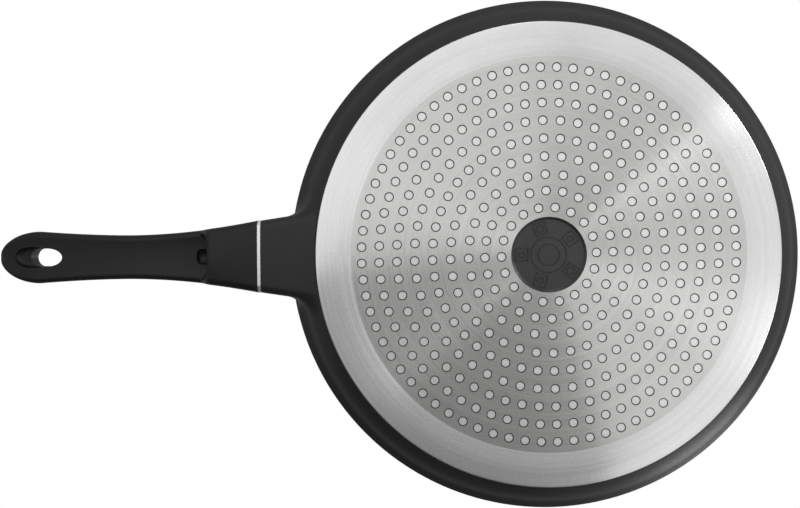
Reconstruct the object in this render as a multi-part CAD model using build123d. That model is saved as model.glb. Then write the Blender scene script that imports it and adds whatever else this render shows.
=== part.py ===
from build123d import *

import math
import os

# A crepe pan for gas, electric and induction hobs, in millimetres, +Z up, standing on its base.
# The origin is the centre of the base, on the plane that the pan rests on. The handle points along -X.

MM = 1.0
OVERRUN = 1.0 * MM

# Pan body: one aluminium casting, a low flared bowl with a thick lip round its rim
RIM_RADIUS = 140.0 * MM
PAN_HEIGHT = 20.0 * MM
WALL_FLARE = 13.8 * MM
BASE_RADIUS = RIM_RADIUS - WALL_FLARE
FLOOR_THICKNESS = 5.0 * MM
WALL_THICKNESS = 3.0 * MM
FLOOR_BEVEL = 4.0 * MM
LIP_HEIGHT = 4.4 * MM
LIP_OVERHANG = 3.4 * MM
LIP_LAND = 2.4 * MM
LIP_CHAMFER = 1.3 * MM

# Recessed round mark in the middle of the base
MARK_SHARE = 0.1624
MARK_RADIUS = MARK_SHARE * BASE_RADIUS
MARK_DEPTH = 1.2 * MM

# Perforated steel plate, let into the base and level with it
PLATE_SHARE = 0.8495
PLATE_RADIUS = PLATE_SHARE * BASE_RADIUS
PLATE_THICKNESS = 0.6 * MM
HOLE_SHARE = 0.0233
HOLE_RADIUS = HOLE_SHARE * PLATE_RADIUS
HOLE_SIDES = 3
HOLE_START_ANGLE = -2.3
# Each ring of holes: its radius as a share of the plate's, and how many holes it has
HOLE_RING_SHARES = (
    (0.240, 18),
    (0.324, 24),
    (0.406, 28),
    (0.497, 36),
    (0.588, 44),
    (0.678, 48),
    (0.768, 56),
    (0.857, 64),
    (0.946, 72),
)

# Joint between the boss and the handle: a flat face square to a line that rises away from the pan
BOSS_LENGTH = 15.7 * MM
JOINT_REACH = RIM_RADIUS + BOSS_LENGTH
JOINT_HEIGHT = 12.1 * MM
JOINT_TILT = 6.0
JOINT_WIDTH = 39.5 * MM
JOINT_DEPTH = 15.0 * MM

# Boss: cast with the pan, widens towards the wall and is blended into it all round
BOSS_ROOT_INSET = 2.2 * MM
BOSS_ROOT_WIDTH = 47.5 * MM
BOSS_BLEND = 3.0 * MM
BLEND_WALL_SHARE = 0.25
BLEND_TRIM_SHARE = 0.25

# Spigot on the boss, which keys the ring and the handle against turning
SPIGOT_WIDTH = 22.0 * MM
SPIGOT_DEPTH = 9.0 * MM
SPIGOT_LENGTH = 9.0 * MM
SPIGOT_ROUND = 2.0 * MM
SPIGOT_GAP = 0.15 * MM
SPIGOT_END_GAP = 0.5 * MM

# Bright ring clamped between the boss and the handle
RING_WIDTH = 1.65 * MM

# Section of the handle and the boss: flat below, soft shoulders above
LOW_ROUND = 4.5 * MM
GRIP_LOW_ROUND = 3.0 * MM
SHOULDER_SHARE = 0.62
SHOULDER_HEIGHT = 6.0 * MM
JOINT_CROWN = 0.3 * MM
NECK_CROWN = 0.8 * MM
GRIP_HOLLOW = 0.8 * MM
LOW_STEPS = 2
SHOULDER_STEPS = 3

# Handle: one phenolic moulding. Lengths run from its front face along the joint's line.
NECK_LENGTH = 28.5 * MM
HANDLE_LENGTH = 158.2 * MM
TIP_SHARE = 0.1694
BULGE_AT = (1 - TIP_SHARE) * HANDLE_LENGTH
WAIST_SHARE = 0.4716
WAIST_AT = WAIST_SHARE * HANDLE_LENGTH
WAIST_WIDTH = 24.55 * MM
BULGE_WIDTH = 29.6 * MM
GRIP_DEPTH = 13.4 * MM
STEP_DEPTH = 9.3 * MM
STEP_CORNER = 2.5 * MM
HANDLE_RISE = 21.0 * MM
NECK_TAPER_POWER = 1.9
BULGE_POWER = 1.7
RISE_POWER = 1.2
STEP_POWER = 1.3
TIP_WIDTH_POWER = 1.1
TIP_DEPTH_POWER = 0.6
NECK_STATION_SHARES = (0.0, 0.5, 1.0)
GRIP_STATION_SHARES = (0.0, 0.25, 0.55, 1.0)
BULGE_STATION_SHARES = (0.4, 0.75, 1.0)
CORNER_ANGLES = (0, 35, 65, 90)
TIP_STATION_SHARES = (0.35, 0.62, 0.82, 0.94, 0.985)

# Screw, washers and the stepped bore that they sit in
SCREW_RADIUS = 2.5 * MM
SCREW_LENGTH = 25.0 * MM
HEAD_RADIUS = 4.25 * MM
HEAD_HEIGHT = 3.3 * MM
RECESS_SPAN = 4.4 * MM
RECESS_WIDTH = 1.1 * MM
RECESS_DEPTH = 1.7 * MM
THREAD_GAP = 0.05 * MM
SCREW_CLEARANCE = 0.25 * MM
TAPPED_END_GAP = 2.0 * MM
FLAT_WASHER_RADIUS = 4.5 * MM
FLAT_WASHER_THICKNESS = 1.0 * MM
SPRING_WASHER_RADIUS = 4.6 * MM
SPRING_WASHER_THICKNESS = 1.2 * MM
SPRING_WASHER_SPLIT = 0.9 * MM
WASHER_BORE_GAP = 0.15 * MM
SEAT_AT = 13.0 * MM
BORE_RADIUS = 5.0 * MM
POCKET_LENGTH = 6.5 * MM

# Hanging hole near the handle's end, with a scoop that leads a hook into it
HANG_INSET = 30.1 * MM
HANG_AT = HANDLE_LENGTH - HANG_INSET
HANG_LENGTH = 22.4 * MM
HANG_WIDTH = 10.7 * MM
SCOOP_REACH = 6.5 * MM
SCOOP_DEPTH = 4.7 * MM

# The joint's face, with local X across the pan, local Y up and local Z along the handle
JOINT = Plane(
    origin=(-JOINT_REACH, 0, JOINT_HEIGHT),
    x_dir=(0, -1, 0),
    z_dir=(-math.cos(math.radians(JOINT_TILT)), 0, math.sin(math.radians(JOINT_TILT))),
)
HANDLE_FACE = JOINT.offset(RING_WIDTH)


def section(plane, width, low, high, low_round, shoulder, bow):
    """A closed outline: round lower corners, soft upper shoulders, a bottom bowed by the given amount."""
    half = width / 2
    shoulder_span = SHOULDER_SHARE * half
    spring_line = high - shoulder
    with BuildSketch(plane) as sketch:
        with BuildLine():
            SagittaArc((half - low_round, low), (low_round - half, low), bow)
            CenterArc((low_round - half, low + low_round), low_round, 180, 90)
            Line((-half, low + low_round), (-half, spring_line))
            EllipticalCenterArc((shoulder_span - half, spring_line), shoulder_span, shoulder, 90, arc_size=90)
            Line((shoulder_span - half, high), (half - shoulder_span, high))
            EllipticalCenterArc((half - shoulder_span, spring_line), shoulder_span, shoulder, 0, arc_size=90)
            Line((half, spring_line), (half, low + low_round))
            CenterArc((half - low_round, low + low_round), low_round, 270, 90)
        make_face()
    return sketch.sketch


def corner_points(centre, across, up, start, steps):
    """Points on a quarter of an ellipse, as the ends of straight steps."""
    angles = [math.radians(start + 90 * step / steps) for step in range(steps + 1)]
    return [(centre[0] + across * math.cos(turn), centre[1] + up * math.sin(turn)) for turn in angles]


def stepped_section(plane, width, low, high, low_round, shoulder, bow):
    """The same outline with its corners in straight steps, which keeps the long lofts light."""
    half = width / 2
    shoulder_span = SHOULDER_SHARE * half
    spring_line = high - shoulder
    floor_line = low + low_round
    points = corner_points((half - low_round, floor_line), low_round, low_round, -90, LOW_STEPS)
    right = (half - shoulder_span, spring_line)
    points += corner_points(right, shoulder_span, shoulder, 0, SHOULDER_STEPS)
    left = (shoulder_span - half, spring_line)
    points += corner_points(left, shoulder_span, shoulder, 90, SHOULDER_STEPS)
    points += corner_points((low_round - half, floor_line), low_round, low_round, 180, LOW_STEPS)
    with BuildSketch(plane) as sketch:
        with BuildLine():
            Polyline(*points)
            SagittaArc(points[-1], points[0], -bow)
        make_face()
    return sketch.sketch


def joint_section(plane, width=JOINT_WIDTH):
    """The section where the boss, the ring and the handle meet."""
    half_depth = JOINT_DEPTH / 2
    return section(plane, width, -half_depth, half_depth, LOW_ROUND, SHOULDER_HEIGHT, JOINT_CROWN)


def round_bar(plane, radius, start, end):
    """A cylinder on the plane's normal, from one distance along it to another."""
    with BuildPart() as bar:
        with BuildSketch(plane.offset(start)):
            Circle(radius)
        extrude(amount=end - start)
    return bar.part


def wall_point(height):
    """The radius of the wall's outer face at a height, with that height."""
    flare = (RIM_RADIUS - LIP_OVERHANG - BASE_RADIUS) / (PAN_HEIGHT - LIP_HEIGHT)
    return (BASE_RADIUS + flare * height, height)


def casting_block():
    """A solid block whose side is the wall's outer face, taller and deeper than the pan."""
    extra = BLEND_WALL_SHARE * PAN_HEIGHT
    low = wall_point(-extra)
    high = wall_point(PAN_HEIGHT + extra)
    with BuildSketch(Plane.XZ) as profile:
        Polygon(low, high, (0, high[1]), (0, low[1]), align=None)
    return revolve(profile.sketch, axis=Axis.Z)


def base_cut():
    """All below the base: the plane it stands on, the plate's recess and the mark's."""
    depth = PAN_HEIGHT
    with BuildSketch(Plane.XZ) as profile:
        Polygon(
            (0, -depth),
            (RIM_RADIUS, -depth),
            (RIM_RADIUS, 0),
            (PLATE_RADIUS, 0),
            (PLATE_RADIUS, PLATE_THICKNESS),
            (MARK_RADIUS, PLATE_THICKNESS),
            (MARK_RADIUS, MARK_DEPTH),
            (0, MARK_DEPTH),
            align=None,
        )
    return revolve(profile.sketch, axis=Axis.Z)


def rim_trim():
    """All above the foot of the lip's upper chamfer, where the lip takes over."""
    low = PAN_HEIGHT - (1 + BLEND_TRIM_SHARE) * LIP_CHAMFER
    reach = wall_point((1 + BLEND_WALL_SHARE) * PAN_HEIGHT)[0] + BLEND_TRIM_SHARE * OVERRUN
    return round_bar(Plane.XY, reach, low, 2 * PAN_HEIGHT)


def rim_lip():
    """The lip round the rim, with the wall's top edge inside it."""
    low = PAN_HEIGHT - LIP_HEIGHT
    inner = RIM_RADIUS - LIP_OVERHANG - LIP_LAND
    with BuildSketch(Plane.XZ) as profile:
        Polygon(
            (inner, low),
            (RIM_RADIUS - LIP_CHAMFER, low),
            (RIM_RADIUS, low + LIP_CHAMFER),
            (RIM_RADIUS, PAN_HEIGHT - LIP_CHAMFER),
            (RIM_RADIUS - LIP_CHAMFER, PAN_HEIGHT),
            (inner, PAN_HEIGHT),
            align=None,
        )
    return revolve(profile.sketch, axis=Axis.Z)


def well():
    """The space inside the pan: flat floor, a bevel, then a wall that follows the outer one."""
    top = (RIM_RADIUS - LIP_CHAMFER - LIP_LAND, PAN_HEIGHT)
    foot_radius = wall_point(FLOOR_THICKNESS)[0] - WALL_THICKNESS
    well_depth = PAN_HEIGHT - FLOOR_THICKNESS
    rise = FLOOR_BEVEL * well_depth / math.hypot(top[0] - foot_radius, well_depth)
    bend_radius = foot_radius + rise * (top[0] - foot_radius) / well_depth
    with BuildSketch(Plane.XZ) as profile:
        Polygon(
            (0, FLOOR_THICKNESS),
            (foot_radius - FLOOR_BEVEL, FLOOR_THICKNESS),
            (bend_radius, FLOOR_THICKNESS + rise),
            top,
            (top[0], PAN_HEIGHT + OVERRUN),
            (0, PAN_HEIGHT + OVERRUN),
            align=None,
        )
    return revolve(profile.sketch, axis=Axis.Z)


def boss():
    """The casting's lug: it runs from inside the wall out to the joint's face."""
    root_plane = JOINT.offset(BASE_RADIUS - BOSS_ROOT_INSET - JOINT_REACH)
    return loft([joint_section(JOINT), joint_section(root_plane, BOSS_ROOT_WIDTH)])


def spigot_bar(length, gap=0.0):
    """The key that stands on the joint's face, or the space for it."""
    with BuildPart() as bar:
        with BuildSketch(JOINT):
            RectangleRounded(SPIGOT_WIDTH + 2 * gap, SPIGOT_DEPTH + 2 * gap, SPIGOT_ROUND + gap)
        extrude(amount=length)
    return bar.part


def pan_body():
    """The casting: the boss is blended into a full block, which is then cut to the pan's own shape."""
    joined = casting_block() + boss()
    seams = joined.edges().filter_by_position(Axis.X, -RIM_RADIUS, BOSS_ROOT_INSET - BASE_RADIUS)
    casting = fillet(seams, BOSS_BLEND) - base_cut() - rim_trim() + rim_lip() - well()
    screw_tip = RING_WIDTH + SEAT_AT + FLAT_WASHER_THICKNESS + SPRING_WASHER_THICKNESS - SCREW_LENGTH
    tapped = round_bar(
        JOINT, SCREW_RADIUS + THREAD_GAP, screw_tip - TAPPED_END_GAP, SPIGOT_LENGTH + OVERRUN
    )
    return casting + spigot_bar(SPIGOT_LENGTH) - tapped


def induction_plate():
    """The thin perforated disc. Each hole is a polygon of the round hole's own area."""
    corner = HOLE_RADIUS * math.sqrt(2 * math.pi / (HOLE_SIDES * math.sin(2 * math.pi / HOLE_SIDES)))
    with BuildPart() as plate:
        with BuildSketch():
            Circle(PLATE_RADIUS)
            Circle(MARK_RADIUS, mode=Mode.SUBTRACT)
            for share, count in HOLE_RING_SHARES:
                with PolarLocations(share * PLATE_RADIUS, count, start_angle=HOLE_START_ANGLE):
                    RegularPolygon(corner, HOLE_SIDES, mode=Mode.SUBTRACT)
        extrude(amount=PLATE_THICKNESS)
    return plate.part


def ferrule_ring():
    with BuildPart() as ring:
        add(extrude(joint_section(JOINT), RING_WIDTH))
        add(spigot_bar(SPIGOT_LENGTH, SPIGOT_GAP), mode=Mode.SUBTRACT)
    return ring.part


def handle_width(along):
    """The handle's full width at a distance from its front face."""
    if along <= WAIST_AT:
        left = (WAIST_AT - along) / WAIST_AT
        return WAIST_WIDTH + (JOINT_WIDTH - WAIST_WIDTH) * left**NECK_TAPER_POWER
    past = min((along - WAIST_AT) / (BULGE_AT - WAIST_AT), 1.0)
    return WAIST_WIDTH + (BULGE_WIDTH - WAIST_WIDTH) * past**BULGE_POWER


def handle_top(along):
    """The height of the handle's top over the joint's line."""
    return JOINT_DEPTH / 2 + HANDLE_RISE * (along / BULGE_AT) ** RISE_POWER


def grip_depth(along):
    """The grip's depth, thin at the step and full from the waist on."""
    left = max((WAIST_AT - along) / (WAIST_AT - NECK_LENGTH), 0.0)
    return GRIP_DEPTH - (GRIP_DEPTH - STEP_DEPTH) * left**STEP_POWER


def neck_section(along, low=-JOINT_DEPTH / 2):
    """The deep front's section, whose bottom is bowed a little more towards the step."""
    bow = JOINT_CROWN + along / NECK_LENGTH * (NECK_CROWN - JOINT_CROWN)
    plane = HANDLE_FACE.offset(along)
    top = handle_top(along)
    return stepped_section(plane, handle_width(along), low, top, LOW_ROUND, SHOULDER_HEIGHT, bow)


def neck():
    """The deep front of the handle, as far as the rounded corner of the step."""
    straight = NECK_LENGTH - STEP_CORNER
    return loft([neck_section(share * straight) for share in NECK_STATION_SHARES], ruled=True)


def step_corner():
    """The neck's end, where the bottom turns up into the step that the finger hold begins at."""
    faces = []
    for angle in CORNER_ANGLES:
        turn = math.radians(angle)
        along = NECK_LENGTH - STEP_CORNER * (1 - math.sin(turn))
        faces.append(neck_section(along, STEP_CORNER * (1 - math.cos(turn)) - JOINT_DEPTH / 2))
    return loft(faces, ruled=True)


def grip():
    """The long shallow part behind the step, hollowed below, with a rounded end."""
    stations = [NECK_LENGTH + share * (WAIST_AT - NECK_LENGTH) for share in GRIP_STATION_SHARES]
    stations += [WAIST_AT + share * (BULGE_AT - WAIST_AT) for share in BULGE_STATION_SHARES]
    faces = []
    for along in stations:
        top = handle_top(along)
        low = top - grip_depth(along)
        faces.append(
            stepped_section(
                HANDLE_FACE.offset(along),
                handle_width(along),
                low,
                top,
                GRIP_LOW_ROUND,
                SHOULDER_HEIGHT,
                -GRIP_HOLLOW,
            )
        )
    for share in TIP_STATION_SHARES:
        along = BULGE_AT + share * (HANDLE_LENGTH - BULGE_AT)
        narrowing = math.sqrt(1 - share**2) ** TIP_WIDTH_POWER
        thinning = narrowing**TIP_DEPTH_POWER
        middle = handle_top(along) - GRIP_DEPTH / 2
        faces.append(
            stepped_section(
                HANDLE_FACE.offset(along),
                BULGE_WIDTH * narrowing,
                middle - thinning * GRIP_DEPTH / 2,
                middle + thinning * GRIP_DEPTH / 2,
                GRIP_LOW_ROUND * narrowing,
                SHOULDER_HEIGHT * thinning,
                -GRIP_HOLLOW * narrowing,
            )
        )
    return loft(faces, ruled=True)


def hang_plane():
    """A plane along the grip at the hanging hole, square to the hole, on the grip's underside."""
    step = OVERRUN
    slope = math.degrees(math.atan((handle_top(HANG_AT + step) - handle_top(HANG_AT)) / step))
    under = handle_top(HANG_AT) - GRIP_DEPTH
    tilt = math.radians(JOINT_TILT + slope)
    return Plane(
        origin=HANDLE_FACE.from_local_coords((0, under, HANG_AT)),
        x_dir=(-math.cos(tilt), 0, math.sin(tilt)),
        z_dir=(math.sin(tilt), 0, math.cos(tilt)),
    )


def hang_slot():
    """The through hole and the sloping scoop at its outer end."""
    under = hang_plane()
    straight = HANG_LENGTH - HANG_WIDTH
    with BuildPart() as slot:
        with BuildSketch(under.offset(-GRIP_DEPTH)):
            SlotCenterToCenter(straight, HANG_WIDTH)
        extrude(amount=3 * GRIP_DEPTH)
        with BuildSketch(under.offset(-SCOOP_DEPTH)) as low:
            with Locations((SCOOP_REACH, 0)):
                SlotCenterToCenter(straight + 2 * SCOOP_REACH, HANG_WIDTH)
        with BuildSketch(under.offset(SCOOP_DEPTH)) as high:
            SlotCenterToCenter(straight, HANG_WIDTH)
        loft()
    return slot.part


def handle():
    blank = neck() + step_corner() + grip()
    socket_depth = SPIGOT_LENGTH + SPIGOT_END_GAP
    seat = round_bar(HANDLE_FACE, BORE_RADIUS, SEAT_AT, NECK_LENGTH + POCKET_LENGTH)
    passage = round_bar(HANDLE_FACE, SCREW_RADIUS + SCREW_CLEARANCE, -OVERRUN, SEAT_AT + OVERRUN)
    return blank - spigot_bar(socket_depth, SPIGOT_GAP) - passage - seat - hang_slot()


def washer(outer, inner, start, thickness):
    return round_bar(HANDLE_FACE, outer, start, start + thickness) - round_bar(
        HANDLE_FACE, inner, start - OVERRUN, start + thickness + OVERRUN
    )


def flat_washer():
    return washer(FLAT_WASHER_RADIUS, SCREW_RADIUS + WASHER_BORE_GAP, SEAT_AT, FLAT_WASHER_THICKNESS)


def spring_washer():
    start = SEAT_AT + FLAT_WASHER_THICKNESS
    coil = washer(SPRING_WASHER_RADIUS, SCREW_RADIUS + WASHER_BORE_GAP, start, SPRING_WASHER_THICKNESS)
    with BuildPart() as split:
        with BuildSketch(HANDLE_FACE.offset(start - OVERRUN)):
            with Locations((0, SPRING_WASHER_RADIUS)):
                Rectangle(SPRING_WASHER_SPLIT, 2 * SPRING_WASHER_RADIUS)
        extrude(amount=SPRING_WASHER_THICKNESS + 2 * OVERRUN)
    return coil - split.part


def handle_screw():
    head_start = SEAT_AT + FLAT_WASHER_THICKNESS + SPRING_WASHER_THICKNESS
    head_end = head_start + HEAD_HEIGHT
    screw = round_bar(HANDLE_FACE, SCREW_RADIUS, head_start - SCREW_LENGTH, head_start)
    screw += round_bar(HANDLE_FACE, HEAD_RADIUS, head_start, head_end)
    with BuildPart() as recess:
        with BuildSketch(HANDLE_FACE.offset(head_end - RECESS_DEPTH)):
            Rectangle(RECESS_SPAN, RECESS_WIDTH)
            Rectangle(RECESS_WIDTH, RECESS_SPAN)
        extrude(amount=RECESS_DEPTH + OVERRUN)
    return screw - recess.part


NODES = {
    "pan_body": pan_body,
    "induction_plate": induction_plate,
    "ferrule_ring": ferrule_ring,
    "handle": handle,
    "handle_screw": handle_screw,
    "spring_washer": spring_washer,
    "flat_washer": flat_washer,
}

os.makedirs("parts", exist_ok=True)
for node_name, make in NODES.items():
    export_step(make(), f"parts/{node_name}.step")
    print(node_name)
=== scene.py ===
import math

import bmesh
import bpy
from bpy.props import FloatProperty, FloatVectorProperty, IntProperty, PointerProperty
from mathutils import Matrix, Vector


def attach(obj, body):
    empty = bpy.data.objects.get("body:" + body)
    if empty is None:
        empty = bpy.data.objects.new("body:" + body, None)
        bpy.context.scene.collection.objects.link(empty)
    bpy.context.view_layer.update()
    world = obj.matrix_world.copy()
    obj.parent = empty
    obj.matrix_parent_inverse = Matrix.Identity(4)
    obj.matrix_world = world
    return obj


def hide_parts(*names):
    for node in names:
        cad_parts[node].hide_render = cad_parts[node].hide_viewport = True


bl_info = {
    "name": "Crepe pan",
    "version": (1, 0, 0),
    "blender": (4, 5, 0),
    "location": "3D Viewport > Sidebar > Crepe pan",
    "description": "Makes a crepe pan with a perforated induction base and a screwed phenolic handle",
    "category": "Object",
}

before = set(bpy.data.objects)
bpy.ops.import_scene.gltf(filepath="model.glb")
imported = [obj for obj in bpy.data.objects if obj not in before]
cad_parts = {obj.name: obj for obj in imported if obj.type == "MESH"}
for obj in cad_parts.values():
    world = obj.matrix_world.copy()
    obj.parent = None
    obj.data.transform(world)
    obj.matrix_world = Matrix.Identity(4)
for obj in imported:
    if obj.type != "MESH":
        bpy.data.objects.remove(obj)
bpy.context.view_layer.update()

MM = 0.001
TURN = 2 * math.pi

# Edges sharper than this are shown sharp, on most pieces, on the base ring and on the grip
SHARP_ANGLE = math.radians(38)
BASE_SHARP_ANGLE = math.radians(60)
GRIP_SHARP_ANGLE = math.radians(34)

# Points of a lathed or a wrapped shape that lie closer than this are one point
LATHE_MERGE = 0.002 * MM
WRAP_MERGE = 0.003 * MM

# The rings of holes in the plate: radius in millimetres and number of holes
HOLE_RINGS = (
    (25.7, 18),
    (34.7, 24),
    (43.5, 28),
    (53.3, 36),
    (63.0, 44),
    (72.7, 48),
    (82.3, 56),
    (91.9, 64),
    (101.4, 72),
)
FIRST_HOLE_TURN = math.radians(-2.3)

RIM_RADIUS = 141.1
RIM_HEIGHT = 20.0

# The outer face of the wall, from the base ring up to the rim, as radius and height in millimetres
WALL_LINE = ((126.55, 0.45), (132.4, 7.5), (134.3, 10.8), (136.4, 14.8), (RIM_RADIUS, RIM_HEIGHT))

# The casting in millimetres: levels of its underside, its lap past the base ring, and its radii inside
RECESS_LEVEL = 1.2
SEAT_LEVEL = 0.6
EDGE_LEVEL = 0.2
EDGE_LAP = 0.2
INNER_RIM_RADIUS = 137.3
INNER_FOOT_RADIUS = 126.5

# Straight steps in a lathed shape's rounded corner, and in a turn of each round form
ROUND_SEGMENTS = 5
RECESS_STEPS = 96
HOLE_STEPS = 20
PIN_STEPS = 18
BOSS_STEPS = 96
GRIP_STEPS = 112
HANG_STEPS = 72
BORE_STEPS = 48
SCREW_WAY_STEPS = 32


# Small helpers for shapes


def smooth(low, high, value):
    """0 below low, 1 above high and an even S between them."""
    share = min(max((value - low) / (high - low), 0.0), 1.0)
    return share * share * (3 - 2 * share)


def blend(first, second, share):
    return first + (second - first) * share


def finish_piece(bm, name, node, materials, sharp=SHARP_ANGLE):
    """Turns a bmesh into a piece that rides on the pan and stands for a CAD node."""
    bmesh.ops.recalc_face_normals(bm, faces=bm.faces)
    for face in bm.faces:
        face.smooth = True
    for edge in bm.edges:
        if len(edge.link_faces) == 2 and edge.calc_face_angle(0.0) > sharp:
            edge.smooth = False
    mesh = bpy.data.meshes.new(name)
    bm.to_mesh(mesh)
    bm.free()
    piece = bpy.data.objects.new(name, mesh)
    bpy.context.scene.collection.objects.link(piece)
    for material in materials:
        mesh.materials.append(material)
    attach(piece, "root")
    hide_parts(node)
    return piece


def lathe(bm, outline, rounds, steps):
    """Spins a half outline of (radius, height) in millimetres, whose named corners are rounded."""
    verts = [bm.verts.new((radius * MM, 0, height * MM)) for radius, height in outline]
    for pair in zip(verts, verts[1:]):
        bm.edges.new(pair)
    for index, cut in rounds.items():
        bmesh.ops.bevel(
            bm,
            geom=[verts[index]],
            offset=cut * MM,
            offset_type="OFFSET",
            segments=ROUND_SEGMENTS,
            profile=0.5,
            affect="VERTICES",
            material=-1,
        )
    bmesh.ops.spin(
        bm,
        geom=bm.verts[:] + bm.edges[:],
        cent=(0, 0, 0),
        axis=(0, 0, 1),
        dvec=(0, 0, 0),
        angle=TURN,
        steps=steps,
        use_merge=True,
        use_duplicate=False,
    )
    bmesh.ops.remove_doubles(bm, verts=bm.verts, dist=LATHE_MERGE)


def ease(bm, edges, cut):
    """Cuts edges off flat, by a size in millimetres."""
    bmesh.ops.bevel(
        bm,
        geom=edges,
        offset=cut * MM,
        offset_type="OFFSET",
        segments=1,
        profile=0.5,
        affect="EDGES",
        material=-1,
    )


def wrap(bm, around, along, place):
    """Rolls a grid into a closed skin: place(turn, row) gives each corner's point in millimetres."""
    made = bmesh.ops.create_grid(bm, x_segments=around, y_segments=along, size=0.5)
    for vert in made["verts"]:
        turn = vert.co.x + 0.5
        row = round((vert.co.y + 0.5) * along)
        vert.co = Vector(place(turn, row)) * MM
    bmesh.ops.remove_doubles(bm, verts=made["verts"], dist=WRAP_MERGE)
    ends = [edge for edge in bm.edges if edge.is_boundary]
    bmesh.ops.holes_fill(bm, edges=ends, sides=0)


# The joint's own directions: across the pan, up from the joint's line, and out along the handle

JOINT_TILT = math.radians(6.0)
JOINT_POINT = Vector((-155.7, 0, 12.1))
ACROSS = Vector((0, -1, 0))
UPWARD = Vector((math.sin(JOINT_TILT), 0, math.cos(JOINT_TILT)))
OUTWARD = Vector((-math.cos(JOINT_TILT), 0, math.sin(JOINT_TILT)))
RING_WIDTH = 1.65

# The section at the joint in millimetres, which boss, ring and handle share
JOINT_WIDTH = 39.5
JOINT_HALF = 7.5
JOINT_ROUND = 4.5
JOINT_SHOULDER = 6.0
JOINT_BOW = 0.3

# Where bottom, lower round, side and shoulder of a section end, as shares of the way from bottom to top
BOTTOM_END_SHARE = 0.22
ROUND_END_SHARE = 0.40
SIDE_END_SHARE = 0.50
SHOULDER_END_SHARE = 0.84
# The shoulder's width as a share of half the section
SHOULDER_WIDTH_SHARE = 0.62


def joint_point(across, up, out):
    return JOINT_POINT + ACROSS * across + UPWARD * up + OUTWARD * out


def rise_share(turn):
    """0 in the middle of a section's bottom and 1 in the middle of its top, on either side."""
    return 2 * turn if turn < 0.5 else 2 - 2 * turn


def section_point(turn, width, low, high, low_round, shoulder, bow):
    """A point on the handle's or boss's section; turn runs once round it from the middle of the bottom."""
    side = 1 if turn < 0.5 else -1
    share = rise_share(turn)
    half = width / 2
    flat = half - low_round
    span = SHOULDER_WIDTH_SHARE * half
    if share < BOTTOM_END_SHARE:
        across = flat * share / BOTTOM_END_SHARE
        up = low - bow * (1 - (across / flat) ** 2)
    elif share < ROUND_END_SHARE:
        angle = math.radians(90 * (share - BOTTOM_END_SHARE) / (ROUND_END_SHARE - BOTTOM_END_SHARE))
        across = flat + low_round * math.sin(angle)
        up = low + low_round * (1 - math.cos(angle))
    elif share < SIDE_END_SHARE:
        across = half
        climb = (share - ROUND_END_SHARE) / (SIDE_END_SHARE - ROUND_END_SHARE)
        up = blend(low + low_round, high - shoulder, climb)
    elif share < SHOULDER_END_SHARE:
        angle = math.radians(90 * (share - SIDE_END_SHARE) / (SHOULDER_END_SHARE - SIDE_END_SHARE))
        across = half - span + span * math.cos(angle)
        up = high - shoulder + shoulder * math.sin(angle)
    else:
        across = (half - span) * (1 - share) / (1 - SHOULDER_END_SHARE)
        up = high
    return side * across, up


# Shader trees

# Lines left by a lathe: how close, how fast they change round the axis, start, detail and roughness
FINE_RINGS = (3400, 0.9, 0.3, 3.0, 0.65)
BROAD_RINGS = (420, 0.35, 4.0, 2.0, 0.6)


class Amount:
    """A socket that sums, products and powers can be written on, each as a Math node."""

    def __init__(self, tree, socket):
        self.tree = tree
        self.socket = socket

    def maths(self, operation, first, second=0.0):
        return self.tree.node("ShaderNodeMath", {"operation": operation}, {0: first, 1: second})

    def __add__(self, other):
        return self.maths("ADD", self, other)

    def __radd__(self, other):
        return self.maths("ADD", other, self)

    def __sub__(self, other):
        return self.maths("SUBTRACT", self, other)

    def __rsub__(self, other):
        return self.maths("SUBTRACT", other, self)

    def __mul__(self, other):
        return self.maths("MULTIPLY", self, other)

    def __rmul__(self, other):
        return self.maths("MULTIPLY", other, self)

    def __pow__(self, other):
        return self.maths("POWER", self, other)

    def __rpow__(self, other):
        return self.maths("POWER", other, self)


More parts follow.
